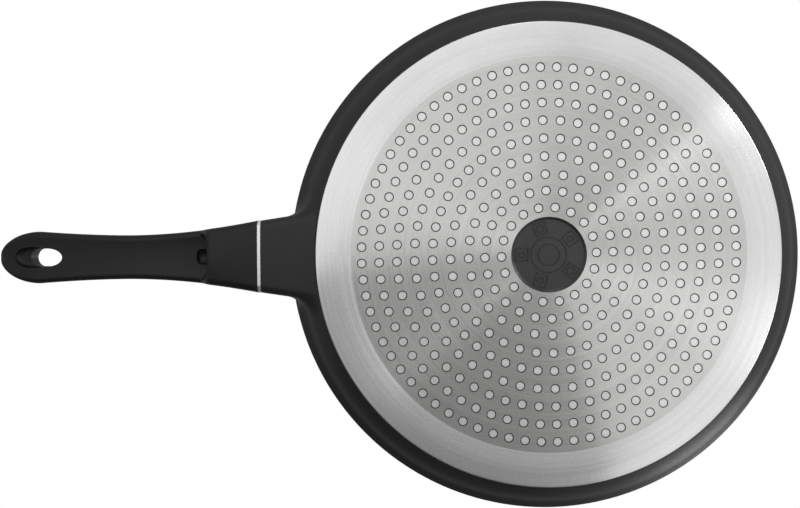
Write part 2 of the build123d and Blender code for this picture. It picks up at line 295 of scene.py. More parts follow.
class Tree:
    """A material's or the world's nodes."""

    def __init__(self, owner):
        owner.use_nodes = True
        self.nodes = owner.node_tree.nodes
        self.links = owner.node_tree.links
        self.nodes.clear()

    def node(self, kind, settings=None, inputs=None, output=0):
        """One node: its settings first, then its sockets' values or links."""
        made = self.nodes.new(kind)
        for key, value in (settings or {}).items():
            setattr(made, key, value)
        for key, value in (inputs or {}).items():
            if isinstance(value, Amount):
                self.links.new(value.socket, made.inputs[key])
            else:
                made.inputs[key].default_value = value
        return Amount(self, made.outputs[output]) if made.outputs else made

    def place(self):
        """The point on the piece, in metres."""
        return self.node("ShaderNodeTexCoord", output=3)

    def noise(self, vector, scale, detail=2.0, roughness=0.5):
        return self.node(
            "ShaderNodeTexNoise",
            {},
            {"Vector": vector, "Scale": scale, "Detail": detail, "Roughness": roughness},
        )

    def spread(self, value, low, high, to_low=0.0, to_high=1.0):
        return self.node(
            "ShaderNodeMapRange",
            {"clamp": True},
            {"Value": value, "From Min": low, "From Max": high, "To Min": to_low, "To Max": to_high},
        )

    def tint(self, share, first, second):
        """A mix of two colours, each a tuple or a link."""
        first = (*first, 1) if isinstance(first, tuple) else first
        second = (*second, 1) if isinstance(second, tuple) else second
        return self.node("ShaderNodeMix", {"data_type": "RGBA"}, {0: share, 6: first, 7: second}, output=2)

    def bump(self, height, strength, distance):
        return self.node("ShaderNodeBump", {}, {"Height": height, "Strength": strength, "Distance": distance})

    def rings(self, point, close, drift, start, detail, roughness):
        """Lines left by a lathe about the pan's axis, which break off as they run round it."""
        radius, angle = self.polar(point)
        way = self.node("ShaderNodeCombineXYZ", {}, {0: radius * close, 1: angle * drift, 2: start})
        return self.noise(way, 1.0, detail, roughness)

    def stretched(self, point, scale, turn=0.0):
        """The point scaled along each axis after a turn about the pan's axis."""
        return self.node("ShaderNodeMapping", {}, {"Vector": point, "Rotation": (0, 0, turn), "Scale": scale})

    def dot(self, first, second):
        settings = {"operation": "DOT_PRODUCT"}
        return self.node("ShaderNodeVectorMath", settings, {0: first, 1: second}, output=1)

    def least(self, first, second):
        return self.node("ShaderNodeMath", {"operation": "MINIMUM"}, {0: first, 1: second})

    def polar(self, point):
        """Distance from the pan's axis and the turn round it."""
        node = self.node("ShaderNodeSeparateXYZ", {}, {0: point}).socket.node
        x, y = Amount(self, node.outputs[0]), Amount(self, node.outputs[1])
        return (x * x + y * y) ** 0.5, self.node("ShaderNodeMath", {"operation": "ARCTAN2"}, {0: y, 1: x})

    def surface(self, **sockets):
        named = {key.replace("_", " "): value for key, value in sockets.items()}
        shader = self.node("ShaderNodeBsdfPrincipled", {}, named)
        self.node("ShaderNodeOutputMaterial", {}, {"Surface": shader})


def new_material(name):
    material = bpy.data.materials.new(name)
    return material, Tree(material)


def times(colour, factor):
    return tuple(factor * part for part in colour)


def black_coating(colour):
    """The satin black enamel on the outside: faint orange peel, fine grain and a few pale specks."""
    material, tree = new_material("satin black coating")
    point = tree.place()
    peel = tree.noise(point, 520, 3.0)
    grain = tree.noise(point, 2600, 2.0, 0.7)
    cloud = tree.noise(point, 26, 3.0)
    specks = tree.spread(tree.noise(point, 1500, 1.0), 0.74, 0.80)
    dark = times(colour, 0.82)
    worn = times(colour, 1.16)
    base = tree.tint(cloud, dark, worn)
    base = tree.tint(specks * 0.35, base, (0.16, 0.16, 0.16))
    tree.surface(
        Base_Color=base,
        Roughness=tree.spread(peel + grain * 0.4, 0.45, 0.95, 0.40, 0.50),
        Specular_IOR_Level=0.43,
        Normal=tree.bump(peel * 0.6 + grain * 0.4, 0.35, 0.00010),
    )
    return material


def stamped_coating(colour):
    """The same enamel in the stamped recess, where it is thinner, paler and glossier."""
    material, tree = new_material("stamped coating")
    point = tree.place()
    grain = tree.noise(point, 1700, 3.0, 0.7)
    cloud = tree.noise(point, 120, 3.0)
    base = tree.tint(cloud, times(colour, 1.2), times(colour, 2.2))
    tree.surface(
        Base_Color=base,
        Roughness=tree.spread(grain * 0.6 + cloud * 0.4, 0.35, 0.65, 0.34, 0.46),
        Specular_IOR_Level=0.60,
        Normal=tree.bump(grain, 0.45, 0.00010),
    )
    return material


def nonstick(colour):
    """The cooking side: dark, smoother, with the sprayed coat's fine metallic specks."""
    material, tree = new_material("non-stick coating")
    point = tree.place()
    lines = tree.rings(point, *FINE_RINGS)
    specks = tree.spread(tree.noise(point, 2300, 1.0), 0.66, 0.74)
    cloud = tree.noise(point, 18, 3.0)
    base = tree.tint(cloud, times(colour, 0.88), times(colour, 1.12))
    base = tree.tint(specks * 0.5, base, (0.20, 0.20, 0.20))
    tree.surface(
        Base_Color=base,
        Roughness=tree.spread(cloud + lines * 0.25, 0.4, 0.85, 0.33, 0.44),
        Normal=tree.bump(lines * 0.5 + tree.noise(point, 1400, 2.0) * 0.5, 0.22, 0.00006),
    )
    return material


def turned_metal(name, colour, rough, stretch, depth):
    """Bare metal finished on a lathe: fine rings, broader bands and a few handling scratches."""
    material, tree = new_material(name)
    point = tree.place()
    fine = tree.rings(point, *FINE_RINGS)
    broad = tree.rings(point, *BROAD_RINGS)
    stains = tree.noise(point, 34, 4.0, 0.6)
    scratch_way = tree.stretched(point, (90, 2600, 90), 0.7)
    scratch = tree.spread(tree.noise(scratch_way, 1.0, 1.0), 0.70, 0.75)
    dark = times(colour, 0.91)
    pale = tuple(min(1.06 * part, 0.95) for part in colour)
    base = tree.tint(tree.spread(fine * 0.6 + broad * 0.4, 0.38, 0.62), dark, pale)
    base = tree.tint(stains * 0.16, base, times(colour, 0.78))
    base = tree.tint(scratch * 0.10, base, (0.9, 0.9, 0.9))
    tree.surface(
        Base_Color=base,
        Metallic=1.0,
        Roughness=tree.spread(fine * 0.7 + stains * 0.3, 0.35, 0.65, rough - 0.05, rough + 0.06),
        Anisotropic=stretch,
        Anisotropic_Rotation=0.25,
        Normal=tree.bump(fine * 0.75 + broad * 0.25, depth, 0.00005),
    )
    return material


def polished_ring(colour):
    """The ferrule ring's bright satin metal, brushed round the joint."""
    material, tree = new_material("satin polished ring")
    point = tree.place()
    brush = tree.noise(tree.stretched(point, (4000, 160, 160)), 1.0, 3.0, 0.6)
    smear = tree.noise(point, 60, 2.0)
    tree.surface(
        Base_Color=tree.tint(brush, times(colour, 0.94), colour),
        Metallic=0.8,
        Roughness=tree.spread(brush * 0.7 + smear * 0.3, 0.3, 0.7, 0.28, 0.38),
        Normal=tree.bump(brush, 0.15, 0.00004),
    )
    return material


def phenolic(colour):
    """Moulded black phenolic: fine grain, slow flow marks and a slightly warm tone."""
    material, tree = new_material("black phenolic")
    point = tree.place()
    grain = tree.noise(point, 1900, 3.0, 0.65)
    flow = tree.noise(tree.stretched(point, (22, 70, 70)), 1.0, 3.0)
    specks = tree.spread(tree.noise(point, 1300, 1.0), 0.72, 0.78)
    base = tree.tint(flow, times(colour, 0.85), times(colour, 1.18))
    base = tree.tint(specks * 0.25, base, (0.11, 0.105, 0.10))
    tree.surface(
        Base_Color=base,
        Roughness=tree.spread(grain * 0.6 + flow * 0.4, 0.35, 0.65, 0.38, 0.46),
        Specular_IOR_Level=0.34,
        Normal=tree.bump(grain, 0.30, 0.00006),
    )
    return material


def fastener_steel():
    """The plated steel of the screw and the washers, a little cloudy."""
    material, tree = new_material("plated steel")
    point = tree.place()
    plating = tree.noise(point, 420, 3.0)
    fine = tree.noise(point, 3200, 2.0)
    tree.surface(
        Base_Color=tree.tint(plating, (0.50, 0.50, 0.52), (0.64, 0.64, 0.63)),
        Metallic=1.0,
        Roughness=tree.spread(plating * 0.6 + fine * 0.4, 0.3, 0.7, 0.26, 0.42),
        Normal=tree.bump(fine, 0.2, 0.00004),
    )
    return material


# Sizes and colours that a user would change


class PanSizes(bpy.types.PropertyGroup):
    lathe_steps: IntProperty(
        name="Lathe steps", description="Straight steps in the pan's round", default=224, min=48
    )
    floor: FloatProperty(name="Floor", description="Thickness of the floor", default=5 * MM, unit="LENGTH")
    base_radius: FloatProperty(
        name="Base radius",
        description="Outer edge of the machined base ring",
        default=126.05 * MM,
        unit="LENGTH",
    )
    plate_radius: FloatProperty(
        name="Plate radius",
        description="Outer edge of the perforated plate",
        default=107.2 * MM,
        unit="LENGTH",
    )
    mark_radius: FloatProperty(
        name="Mark radius",
        description="Round recess in the middle of the base",
        default=20.5 * MM,
        unit="LENGTH",
    )
    pin_radius: FloatProperty(
        name="Pin radius", description="Casting's pins in the plate's holes", default=2.12 * MM, unit="LENGTH"
    )
    hole_radius: FloatProperty(
        name="Hole radius", description="Holes in the plate", default=2.65 * MM, unit="LENGTH"
    )


class PanColours(bpy.types.PropertyGroup):
    coating: FloatVectorProperty(
        name="Coating", description="Black enamel outside", default=(0.0145, 0.0143, 0.015), subtype="COLOR"
    )
    cooking_side: FloatVectorProperty(
        name="Cooking side", description="Non-stick coating", default=(0.018, 0.018, 0.019), subtype="COLOR"
    )
    steel: FloatVectorProperty(
        name="Plate steel", description="Perforated plate", default=(0.70, 0.695, 0.68), subtype="COLOR"
    )
    aluminium: FloatVectorProperty(
        name="Aluminium", description="Machined ring and pins", default=(0.88, 0.88, 0.885), subtype="COLOR"
    )
    ring: FloatVectorProperty(
        name="Ferrule ring", description="Bright ring", default=(0.96, 0.95, 0.95), subtype="COLOR"
    )
    handle: FloatVectorProperty(
        name="Handle", description="Phenolic", default=(0.0105, 0.0097, 0.0097), subtype="COLOR"
    )


# The pieces


def wall_radius(height):
    """The wall's outer radius at a height, both in millimetres."""
    for (low_radius, low), (high_radius, high) in zip(WALL_LINE, WALL_LINE[1:]):
        if height <= high:
            return blend(low_radius, high_radius, (height - low) / (high - low))
    return WALL_LINE[-1][0]


# The boss in millimetres: its growth in width towards the wall and the length over which it grows
BOSS_GROWTH = 9.4
BOSS_LENGTH = 31.9
# How far inwards the wall is looked for, and how often that length is halved
SEARCH_LENGTH = 40.0
HALVINGS = 26
# The hollow blend on to the wall: its size below and above, and how it shrinks under the rim
LOW_BLEND = 5.6
HIGH_BLEND = 12.5
BLEND_TOP = 19.4
BLEND_FADE = 3.5
LEAST_BLEND_SHARE = 0.16
# The lowest and highest level that the blend reaches on the wall, and its least reach
FOOT_LOW = 0.55
FOOT_HIGH = 19.5
LEAST_REACH = 0.05
# Where round the section the blend grows, as shares of its rise, and how near the joint the blend may start
BLEND_SHARES = (0.20, 0.42)
LATEST_BLEND = -0.5
# The rounded edge at the joint: distance out and share of the section's size, one row each, then the side
EDGE_ROWS = ((0, 0.984), (-0.1, 0.996))
SIDE_START = -0.45
# Rows of the boss's skin: all of them, and the first row of the blend
BOSS_ROWS = 18
BLEND_ROW = 8
# How far the skin's last row lies inside the wall
ANCHOR_DEPTH = 2.0
# Short ways, in millimetres and in turns, over which slopes are measured
PROBE = 0.5
TURN_PROBE = 0.002

# The casting's coatings: outside, on the cooking side and in the stamped recess
OUTER_SLOT = 0
COOKING_SLOT = 1
RECESS_SLOT = 2
# The cooking side's coating in millimetres: its laps past floor, cone and rim, and its band on the rim's top
FLOOR_LAP = 0.5
CONE_LAP = 0.5
CONE_SLOPE = 0.8
INNER_LAP = 0.9
TOP_DEPTH = 0.6
TOP_WIDTH = 2.1


def boss_line(turn, out):
    """A point on the boss's own side, at a distance out from the joint's face (negative is inwards)."""
    width = JOINT_WIDTH + BOSS_GROWTH * min(-out / BOSS_LENGTH, 1.0)
    across, up = section_point(turn, width, -JOINT_HALF, JOINT_HALF, JOINT_ROUND, JOINT_SHOULDER, JOINT_BOW)
    return joint_point(across, up, out)


def boss_edge(turn, out, share):
    """A point of the rounded edge at the joint: the boss's section drawn in to a share of its size."""
    middle = joint_point(0, 0, out)
    return middle + (boss_line(turn, out) - middle) * share


def boss_depth(turn):
    """Where the boss's side meets the wall, as a distance out from the joint's face."""
    near, far = 0.0, -SEARCH_LENGTH
    for _ in range(HALVINGS):
        middle = (near + far) / 2
        probe = boss_line(turn, middle)
        if math.hypot(probe.x, probe.y) > wall_radius(probe.z):
            near = middle
        else:
            far = middle
    return near


def boss_foot(turn, depth, corner, radial, size):
    """Where the blend ends on the wall: away from the corner, square to the boss's own side."""
    outer = boss_line(turn, depth + 2 * PROBE) - corner
    slope = (wall_radius(corner.z + PROBE) - wall_radius(corner.z - PROBE)) / (2 * PROBE)
    wall_normal = (radial - Vector((0, 0, slope))).normalized()
    ahead = boss_line((turn + TURN_PROBE) % 1.0, depth) - boss_line((turn - TURN_PROBE) % 1.0, depth)
    side_normal = ahead.cross(outer).normalized()
    if side_normal.dot(corner - joint_point(0, 0, depth)) < 0:
        side_normal.negate()
    away = (side_normal - wall_normal * side_normal.dot(wall_normal)).normalized()
    reach = size
    if away.z < 0:
        reach = min(reach, max((corner.z - FOOT_LOW) / -away.z, LEAST_REACH))
    if away.z > 0:
        reach = min(reach, max((FOOT_HIGH - corner.z) / away.z, LEAST_REACH))
    foot = corner + away * reach
    scale = wall_radius(foot.z) / math.hypot(foot.x, foot.y)
    return Vector((foot.x * scale, foot.y * scale, foot.z))


def boss_point(turn, row):
    """The boss's skin: a rounded edge at the joint, its side, then a hollow blend on to the wall."""
    if row < len(EDGE_ROWS):
        return boss_edge(turn, *EDGE_ROWS[row])
    depth = boss_depth(turn)
    corner = boss_line(turn, depth)
    radial = Vector((corner.x, corner.y, 0)).normalized()
    size = blend(LOW_BLEND, HIGH_BLEND, smooth(*BLEND_SHARES, rise_share(turn)))
    size *= min(max((BLEND_TOP - corner.z) / BLEND_FADE, LEAST_BLEND_SHARE), 1.0)
    start = boss_line(turn, min(depth + size, LATEST_BLEND))
    if row < BLEND_ROW:
        share = (row - len(EDGE_ROWS)) / (BLEND_ROW - len(EDGE_ROWS))
        return boss_line(turn, SIDE_START).lerp(start, share)
    foot = boss_foot(turn, depth, corner, radial, size)
    if row == BOSS_ROWS:
        return foot - radial * ANCHOR_DEPTH
    share = (row - BLEND_ROW) / (BOSS_ROWS - 1 - BLEND_ROW)
    return start.lerp(corner, share).lerp(corner.lerp(foot, share), share)


def coating_slot(radius, height, mark, floor):
    """Which of the casting's coatings lies at a radius and a height."""
    if radius < mark and height < floor - FLOOR_LAP:
        return RECESS_SLOT
    cone = INNER_FOOT_RADIUS + CONE_LAP + (height - floor) * CONE_SLOPE
    inside = height > floor - FLOOR_LAP and radius < min(INNER_RIM_RADIUS + INNER_LAP, cone)
    on_top = height > RIM_HEIGHT - TOP_DEPTH and radius < INNER_RIM_RADIUS + TOP_WIDTH
    return COOKING_SLOT if inside or on_top else OUTER_SLOT


def add_mesh(bm, other, name):
    """Adds another bmesh's shape to the first, and frees the other."""
    mesh = bpy.data.meshes.new(name)
    other.to_mesh(mesh)
    other.free()
    bm.from_mesh(mesh)
    bpy.data.meshes.remove(mesh)


def make_casting(sizes, materials):
    """The black casting: the turned body, and the boss blended into its wall."""
    mark, plate, base = sizes.mark_radius / MM, sizes.plate_radius / MM, sizes.base_radius / MM
    floor = sizes.floor / MM
    outline = (
        (0, RECESS_LEVEL),
        (mark, RECESS_LEVEL),
        (mark, SEAT_LEVEL),
        (plate, SEAT_LEVEL),
        (plate, EDGE_LEVEL),
        (base + EDGE_LAP, EDGE_LEVEL),
        *WALL_LINE,
        (INNER_RIM_RADIUS, RIM_HEIGHT),
        (INNER_FOOT_RADIUS, floor),
        (0, floor),
    )
    # The wall's three bends, the rim's outer and inner edge, and the hollow round the cooking floor
    rounds = {7: 2.6, 8: 1.6, 9: 1.8, 10: 1.0, 11: 0.9, 12: 5.0}
    bm = bmesh.new()
    lathe(bm, outline, rounds, sizes.lathe_steps)
    for face in bm.faces:
        centre = face.calc_center_median() / MM
        face.material_index = coating_slot(math.hypot(centre.x, centre.y), centre.z, mark, floor)
    boss = bmesh.new()
    wrap(boss, BOSS_STEPS, BOSS_ROWS, boss_point)
    add_mesh(bm, boss, "boss")
    return finish_piece(bm, "casting", "pan_body", materials)


# The base ring in millimetres: its depth, its lap under the plate's edge, its chamfers and its lap outside
BARE_DEPTH = 0.9
BARE_LAP = 0.02
INNER_CHAMFER_WIDTH = 0.1
INNER_CHAMFER_RISE = 0.03
OUTER_CHAMFER_START = 0.35
OUTER_CHAMFER_END = 0.45
OUTER_CHAMFER_RISE = 0.42
OUTER_CHAMFER_ROUND = 0.2
BARE_OUTER_LAP = 0.3


def make_base_ring(sizes, material):
    """The bare ring that the pan stands on, with its narrow chamfers."""
    plate, base = sizes.plate_radius / MM, sizes.base_radius / MM
    outline = (
        (plate - BARE_LAP, BARE_DEPTH),
        (plate - BARE_LAP, INNER_CHAMFER_RISE),
        (plate + INNER_CHAMFER_WIDTH, 0),
        (base - OUTER_CHAMFER_START, 0),
        (base + OUTER_CHAMFER_END, OUTER_CHAMFER_RISE),
        (base + BARE_OUTER_LAP, BARE_DEPTH),
    )
    bm = bmesh.new()
    lathe(bm, outline, {3: OUTER_CHAMFER_ROUND}, sizes.lathe_steps)
    return finish_piece(bm, "base_ring", "pan_body", [material], BASE_SHARP_ANGLE)


def hole_places():
    for radius, count in HOLE_RINGS:
        for index in range(count):
            angle = FIRST_HOLE_TURN + TURN * index / count
            yield Vector((radius * math.cos(angle), radius * math.sin(angle), 0)) * MM


def make_plate(sizes, material):
    """The perforated plate: rings of round holes filled in flat, then given its thickness."""
    bm = bmesh.new()
    for radius, steps in ((sizes.plate_radius, sizes.lathe_steps), (sizes.mark_radius, RECESS_STEPS)):
        bmesh.ops.create_circle(bm, cap_ends=False, segments=steps, radius=radius)
    for place in hole_places():
        matrix = Matrix.Translation(place)
        bmesh.ops.create_circle(
            bm, cap_ends=False, segments=HOLE_STEPS, radius=sizes.hole_radius, matrix=matrix
        )
    bmesh.ops.triangle_fill(bm, use_beauty=True, use_dissolve=False, edges=bm.edges[:], normal=(0, 0, -1))
    made = bmesh.ops.extrude_face_region(bm, geom=bm.faces[:])
    raised = [item for item in made["geom"] if isinstance(item, bmesh.types.BMVert)]
    bmesh.ops.translate(bm, verts=raised, vec=(0, 0, SEAT_LEVEL * MM))
    return finish_piece(bm, "perforated_plate", "induction_plate", [material])


# The pins in millimetres: middle level, depth and the easing of their edges
PIN_MIDDLE = 0.50
PIN_DEPTH = 0.36
PIN_EASING = 0.06


def make_pins(sizes, material):
    """The casting's own metal in each of the plate's holes, set back a little from the plate's face."""
    bm = bmesh.new()
    for place in hole_places():
        matrix = Matrix.Translation(place + Vector((0, 0, PIN_MIDDLE * MM)))
        bmesh.ops.create_cone(
            bm,
            cap_ends=True,
            cap_tris=False,
            segments=PIN_STEPS,
            radius1=sizes.pin_radius,
            radius2=sizes.pin_radius,
            depth=PIN_DEPTH * MM,
            matrix=matrix,
        )
    rims = [edge for edge in bm.edges if all(vert.co.z < PIN_MIDDLE * MM for vert in edge.verts)]
    ease(bm, rims, PIN_EASING)
    return finish_piece(bm, "casting_pins", "pan_body", [material])


def ridge(bm, points, width, height, base):
    """A closed raised line through the given points, standing down from a level."""
    made = [bm.verts.new((x * MM, y * MM, base * MM)) for x, y in points]
    face = bm.faces.new(made)
    inner = bmesh.ops.inset_individual(bm, faces=[face], thickness=width * MM, depth=0.0)
    bmesh.ops.delete(bm, geom=[face], context="FACES_ONLY")
    rim = inner["faces"]
    made = bmesh.ops.extrude_face_region(bm, geom=rim)
    lowered = [item for item in made["geom"] if isinstance(item, bmesh.types.BMVert)]
    bmesh.ops.translate(bm, verts=lowered, vec=(0, 0, -height * MM))


# The raised mark in millimetres: its floor, rise and easing, and the width of the recess's sloped side
MARK_FLOOR = 1.22
MARK_RISE = 0.60
MARK_EASING = 0.42
SIDE_WIDTH = 1.5
SIDE_LAP = 0.02
SIDE_START_LEVEL = 0.06
# Its rings and the rings in its frames, as radius, line's width and steps
MARK_RINGS = ((9.6, 1.05, 72), (5.8, 0.95, 56))
FRAME_RINGS = ((1.6, 0.90, 24), (2.0, 0.90, 28))
# Its square frames: how many, how far out, half their size, and their line's width
FRAME_COUNT = 5
FRAME_PLACE = 14.6
FRAME_HALF = 3.3
FRAME_LINE = 0.95


def raised_ring(bm, x, y, radius, width, steps):
    turns = [TURN * step / steps for step in range(steps)]
    points = [(x + radius * math.cos(turn), y + radius * math.sin(turn)) for turn in turns]
    ridge(bm, points, width, MARK_RISE, MARK_FLOOR)


def raised_frame(bm, x, y, turn):
    corners = []
    for across, up in ((-1, -1), (1, -1), (1, 1), (-1, 1)):
        along = x + FRAME_HALF * (across * math.cos(turn) - up * math.sin(turn))
        aside = y + FRAME_HALF * (across * math.sin(turn) + up * math.cos(turn))
        corners.append((along, aside))
    ridge(bm, corners, FRAME_LINE, MARK_RISE, MARK_FLOOR)


def make_mark(material, mark):
    """The recess's sloped side, and in it plain raised rings with five small frames round them."""
    bm = bmesh.new()
    for ring in MARK_RINGS:
        raised_ring(bm, 0, 0, *ring)
    for index in range(FRAME_COUNT):
        angle = math.pi + TURN * index / FRAME_COUNT
        x, y = FRAME_PLACE * math.cos(angle), FRAME_PLACE * math.sin(angle)
        raised_frame(bm, x, y, angle)
        raised_ring(bm, x, y, *FRAME_RINGS[index % 2])
    middle = (MARK_FLOOR - MARK_RISE / 2) * MM
    tops = [edge for edge in bm.edges if all(vert.co.z < middle for vert in edge.verts)]
    ease(bm, tops, MARK_EASING)
    side = bmesh.new()
    outer = mark - SIDE_LAP
    outline = ((outer, SIDE_START_LEVEL), (mark - SIDE_WIDTH, MARK_FLOOR), (outer, MARK_FLOOR))
    lathe(side, outline, {}, RECESS_STEPS)
    add_mesh(bm, side, "side")
    return finish_piece(bm, "base_mark", "pan_body", [material])


# The handle

# In millimetres out from the joint's face: end of the neck, waist, widest place, end and hanging hole
NECK = 28.5
WAIST = 74.6
BULGE = 131.4
LENGTH = 158.0
HANG_AT = 128.1
# Widths at waist and widest place, the top's rise, the grip's depth, and how much less it is at the neck
WAIST_WIDTH = 24.55
BULGE_WIDTH = 29.6
HANDLE_RISE = 21.0
GRIP_DEPTH = 13.4
NECK_THINNING = 4.1
# How evenly these change: 1 is a straight line, and more starts more slowly
WAIST_POWER = 1.9
BULGE_POWER = 1.7
RISE_POWER = 1.2
THINNING_POWER = 1.3
END_WIDTH_POWER = 1.1
END_DEPTH_POWER = 0.6
GRIP_ROW_POWER = 1.15
# The grip's lower round and its hollow underside
GRIP_ROUND = 3.0
GRIP_BOW = -0.8
# The step in the underside: half its length, where it bends and where it ends, its lean, the rounds of its
# foot and of its lower edge, its length at the handle's sides, and how far along the grip that fades out
STEP_HALF = 2.5
STEP_BEND = NECK - STEP_HALF
STEP_FOOT = NECK + STEP_HALF
STEP_LEAN = 0.25
FOOT_ROUND = 1.6
STEP_ROUND = 3.2
LAND = 9.0
LAND_FADE = 24.0
# Where the step turns into the lands, and where the lean of its rows ends, as shares of the section's rise
LAND_SHARES = (0.135, 0.27)
LEAN_SHARES = (0.42, 0.62)
# Rows of the handle: along the neck, round the bend, down the step, round its foot, along grip and end
NECK_ROWS = 8
BEND_ROWS = 8
STEP_ROWS = 5
FOOT_ROWS = 7
GRIP_ROWS = 49
END_ROWS = 24
# How far apart the rows of the step, and those of its foot, lie on the top
STEP_ROW_GAP = 0.28
FOOT_ROW_GAP = 0.194
# The neck's first plain row, and the last angle round the handle's end in degrees
NECK_START = 0.35
END_ANGLE = 89.4
# The bottom's bow at the step is this much more than at the joint
NECK_BOW_GROWTH = 0.5
# How much of the way from neck to grip is done after the bend and after the step
BEND_PAST = 0.4
STEP_PAST = 0.7
# The lower round stays at least this share of its size at the handle's end
LEAST_ROUND_SHARE = 0.02


def handle_width(out):
    if out <= WAIST:
        return WAIST_WIDTH + (JOINT_WIDTH - WAIST_WIDTH) * ((WAIST - out) / WAIST) ** WAIST_POWER
    share = min((out - WAIST) / (BULGE - WAIST), 1.0)
    return WAIST_WIDTH + (BULGE_WIDTH - WAIST_WIDTH) * share**BULGE_POWER


def handle_top(out):
    return JOINT_HALF + HANDLE_RISE * (max(out, 0) / BULGE) ** RISE_POWER


def grip_depth(out):
    left = max((WAIST - out) / (WAIST - NECK), 0.0)
    return GRIP_DEPTH - NECK_THINNING * min(left, 1.0) ** THINNING_POWER


def grip_low(out):
    return handle_top(out) - grip_depth(max(out, NECK))


def handle_rows():
    """The rings of the handle, from the joint to the end.

    Each has its distance out on top and below, its bottom level (None for the grip's own), its lower
    round, its inset, the angle round the handle's end, and a share from 0 at the joint to 1 on the grip.
    """
    rows = [
        (0.0, 0.0, -JOINT_HALF, JOINT_ROUND, 0.30, 0.0, 0.0),
        (0.10, 0.10, -JOINT_HALF, JOINT_ROUND, 0.08, 0.0, 0.0),
    ]
    for step in range(NECK_ROWS + 1):
        out = blend(NECK_START, STEP_BEND, step / NECK_ROWS)
        rows.append((out, out, -JOINT_HALF, JOINT_ROUND, 0.0, 0.0, 0.0))
    foot_low = grip_low(STEP_FOOT)
    for step in range(1, BEND_ROWS + 1):
        turn = math.radians(90 * step / BEND_ROWS)
        out = STEP_BEND + STEP_HALF * math.sin(turn)
        low = -JOINT_HALF + STEP_HALF * (1 - math.cos(turn))
        past = BEND_PAST * step / BEND_ROWS
        rows.append((STEP_BEND + STEP_ROW_GAP * step, out, low, JOINT_ROUND, 0.0, 0.0, past))
    for step in range(1, STEP_ROWS + 1):
        share = step / STEP_ROWS
        low = blend(STEP_HALF - JOINT_HALF, foot_low - FOOT_ROUND, share)
        out = NECK + STEP_LEAN * share
        top_out = STEP_BEND + STEP_ROW_GAP * (BEND_ROWS + step)
        low_round = blend(JOINT_ROUND, STEP_ROUND, share)
        rows.append((top_out, out, low, low_round, 0.0, 0.0, blend(BEND_PAST, STEP_PAST, share)))
    for step in range(1, FOOT_ROWS + 1):
        share = step / FOOT_ROWS
        turn = math.radians(90 * share)
        out = NECK + STEP_LEAN + (STEP_HALF - STEP_LEAN) * (1 - math.cos(turn))
        low = foot_low - FOOT_ROUND + FOOT_ROUND * math.sin(turn)
        top_out = STEP_BEND + STEP_ROW_GAP * (BEND_ROWS + STEP_ROWS) + FOOT_ROW_GAP * step
        rows.append((top_out, out, low, GRIP_ROUND, 0.0, 0.0, blend(STEP_PAST, 1.0, share)))
    for step in range(1, GRIP_ROWS + 1):
        out = blend(STEP_FOOT, BULGE, (step / GRIP_ROWS) ** GRIP_ROW_POWER)
        rows.append((out, out, None, GRIP_ROUND, 0.0, 0.0, 1.0))
    for step in range(1, END_ROWS + 1):
        angle = math.radians(END_ANGLE * step / END_ROWS)
        out = blend(BULGE, LENGTH, math.sin(angle))
        rows.append((out, out, None, GRIP_ROUND, 0.0, angle, 1.0))
    return rows


def handle_point(turn, row, rows):
    """A point of the handle: the step's rows lean, and towards the edges the step turns into low lands."""
    top_out, low_out, low, low_round, inset, angle, past = rows[row]
    share = rise_share(turn)
    lowness = 1 - smooth(*LEAN_SHARES, share)
    land = smooth(*LAND_SHARES, share) * lowness
    if low is None:
        low = grip_low(low_out)
        shift = (LAND - 2 * STEP_HALF) * (1 - smooth(STEP_FOOT, STEP_FOOT + LAND_FADE, low_out))
    else:
        shift = max(LAND * (top_out - STEP_BEND) / (2 * STEP_HALF) - (low_out - STEP_BEND), 0.0)
    out = blend(top_out, low_out, lowness) + shift * land
    narrow = math.cos(angle) ** END_WIDTH_POWER
    thin = narrow**END_DEPTH_POWER
    width = handle_width(out) * narrow - 2 * inset
    high = handle_top(out)
    if angle:
        middle = high - GRIP_DEPTH / 2
        low = middle - thin * GRIP_DEPTH / 2
        high = middle + thin * GRIP_DEPTH / 2
    neck_bow = JOINT_BOW + NECK_BOW_GROWTH * min(low_out / NECK, 1)
    bow = blend(neck_bow, GRIP_BOW * narrow, smooth(BEND_PAST, 1.0, past))
    low_round *= max(narrow, LEAST_ROUND_SHARE)
    across, up = section_point(turn, width, low + inset, high - inset, low_round, JOINT_SHOULDER * thin, bow)
    return joint_point(across, up, out + RING_WIDTH)


def cut_away(piece, cutter):
    """Takes one bmesh's shape out of a piece, and keeps the result as the piece's own mesh."""
    mesh = bpy.data.meshes.new("cutter")
    bmesh.ops.recalc_face_normals(cutter, faces=cutter.faces)
    cutter.to_mesh(mesh)
    cutter.free()
    tool = bpy.data.objects.new("cutter", mesh)
    bpy.context.scene.collection.objects.link(tool)
    cut = piece.modifiers.new("cut", "BOOLEAN")
    cut.operation = "DIFFERENCE"
    cut.solver = "EXACT"
    cut.object = tool
    bpy.context.view_layer.update()
    result = bpy.data.meshes.new_from_object(piece.evaluated_get(bpy.context.evaluated_depsgraph_get()))
    piece.modifiers.clear()
    old = piece.data
    piece.data = result
    bpy.data.meshes.remove(old)
    bpy.data.objects.remove(tool)
    bpy.data.meshes.remove(mesh)


def hang_frame():
    """Where the hanging hole is: its middle on the grip's underside, along the grip, and out of its top."""
    slope = math.atan(handle_top(HANG_AT + 1) - handle_top(HANG_AT))
    tilt = JOINT_TILT + slope
    along = Vector((-math.cos(tilt), 0, math.sin(tilt)))
    out = Vector((math.sin(tilt), 0, math.cos(tilt)))
    return joint_point(0, grip_low(HANG_AT), HANG_AT + RING_WIDTH), along, out


